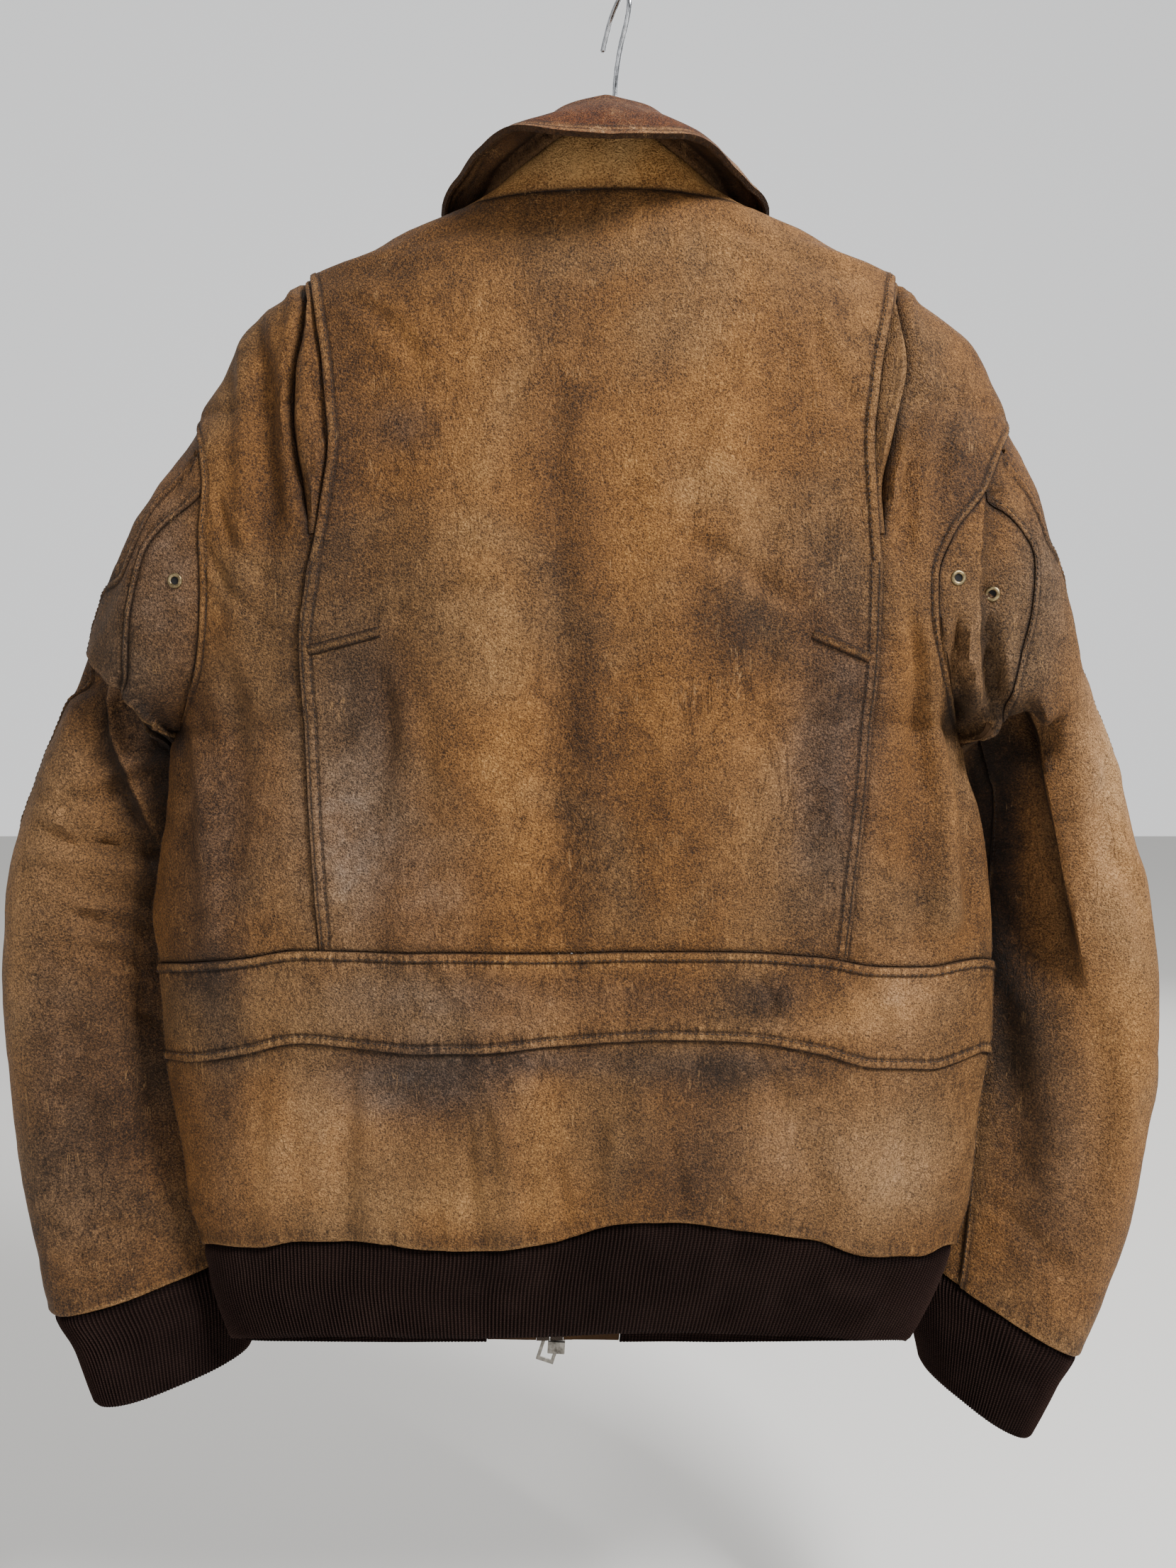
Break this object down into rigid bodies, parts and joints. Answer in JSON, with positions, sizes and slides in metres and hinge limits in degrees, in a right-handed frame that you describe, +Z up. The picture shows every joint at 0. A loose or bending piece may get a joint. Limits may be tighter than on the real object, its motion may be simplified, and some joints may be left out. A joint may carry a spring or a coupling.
{
  "type": "leather jacket on a hanger",
  "caption": "Worn brown leather flight jacket with ribbed knit cuffs and hem, seen from its bi-swing back, hanging empty on a wire-hook hanger.",
  "frame": {"origin": "inner top of the hanger's hook, where a rail carries it", "axes": "+Z up along the hang, +Y out of the zipped front, +X to the wearer's right"},
  "size_m": [0.7002, 0.1819, 0.8481],
  "materials": {
    "worn_leather": "distressed tan-brown cowhide with dark grey-brown patches and rubbed pale edges",
    "collar_leather": "reddish-brown leather with cracked, rubbed edges",
    "ribbed_knit": "dark brown rib knit",
    "zip_metal": "dark gunmetal",
    "eyelet_brass": "dull antique brass",
    "hook_chrome": "bright plated wire",
    "hanger_wood": "plain varnished wood"
  },
  "bodies": {
    "jacket": {"back_centre": "worn_leather", "back_side_left": "worn_leather", "back_side_right": "worn_leather", "pleat_left": "worn_leather", "pleat_right": "worn_leather", "back_belt": "worn_leather", "back_lower": "worn_leather", "front_left": "worn_leather", "front_right": "worn_leather", "hem_tab_left": "worn_leather", "hem_tab_right": "worn_leather", "dart_left": "worn_leather", "dart_right": "worn_leather", "sleeve_upper_left": "worn_leather", "sleeve_upper_right": "worn_leather", "sleeve_under_left": "worn_leather", "sleeve_under_right": "worn_leather", "gusset_left": "worn_leather", "gusset_right": "worn_leather", "collar_stand": "worn_leather", "collar_leaf": "collar_leather", "waistband": "ribbed_knit", "cuff_left": "ribbed_knit", "cuff_right": "ribbed_knit", "zip_tape_left": "zip_metal", "zip_tape_right": "zip_metal", "zip_box": "zip_metal", "zip_slider": "zip_metal", "eyelet_left": "eyelet_brass", "eyelet_right_a": "eyelet_brass", "eyelet_right_b": "eyelet_brass", "hook": "hook_chrome", "hanger": "hanger_wood"},
    "pull": {"zip_pull": "zip_metal"}
  },
  "joints": [
    {"name": "pull_tab_swing", "type": "hinge", "parent": "jacket", "child": "pull", "pos_m": [-0.03947, 0.04888, -0.7965], "axis": [0.9493, -0.0104, -0.3143], "range_deg": [0, 150]}
  ]
}
